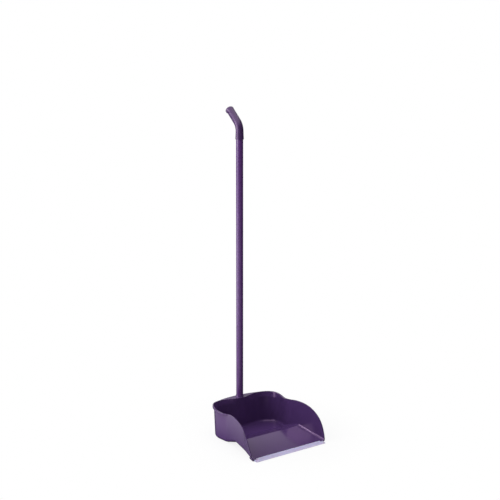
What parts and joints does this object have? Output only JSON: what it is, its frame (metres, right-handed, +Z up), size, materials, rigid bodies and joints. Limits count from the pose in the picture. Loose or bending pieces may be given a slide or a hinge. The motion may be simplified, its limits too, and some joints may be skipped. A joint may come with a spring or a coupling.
{
  "type": "long-handled dustpan",
  "caption": "Standing dustpan: a deep plastic pan with a wavy rim, a ramp and a soft ribbed lip at its mouth, on an upright tube pole with a bent hand grip.",
  "frame": {"origin": "on the floor, in the middle of the flat underside of the bin", "axes": "+Z up along the pole, +Y to the rear where the pole stands, -Y to the mouth, +X to the right seen from the mouth's front towards the rear"},
  "size_m": [0.2782, 0.337, 1.0099],
  "materials": {
    "pan_plastic": "satin purple moulded plastic",
    "lip_rubber": "soft pale lilac, ribbed at the edge",
    "tube_steel": "bare drawn tube under the film",
    "pole_film": "glossy purple film",
    "plug_plastic": "dark moulded plastic",
    "grip_plastic": "glossy dark purple plastic"
  },
  "bodies": {
    "pan": {"pan": "pan_plastic"},
    "pole": {"pole_tube": "tube_steel", "pole_skin": "pole_film", "pole_end_plug": "plug_plastic", "hand_grip": "grip_plastic"},
    "lip": {"lip_strip": "lip_rubber"}
  },
  "joints": [
    {"name": "pole_pull_out", "type": "slide", "parent": "pan", "child": "pole", "axis": [0, 0, 1], "range_m": [0, 0.07]},
    {"name": "lip_flex", "type": "hinge", "parent": "pan", "child": "lip", "pos_m": [0, -0.198, 0.0029], "axis": [-1, 0, 0], "range_deg": [0, 10], "stiffness_Nm_per_rad": 0.08}
  ]
}
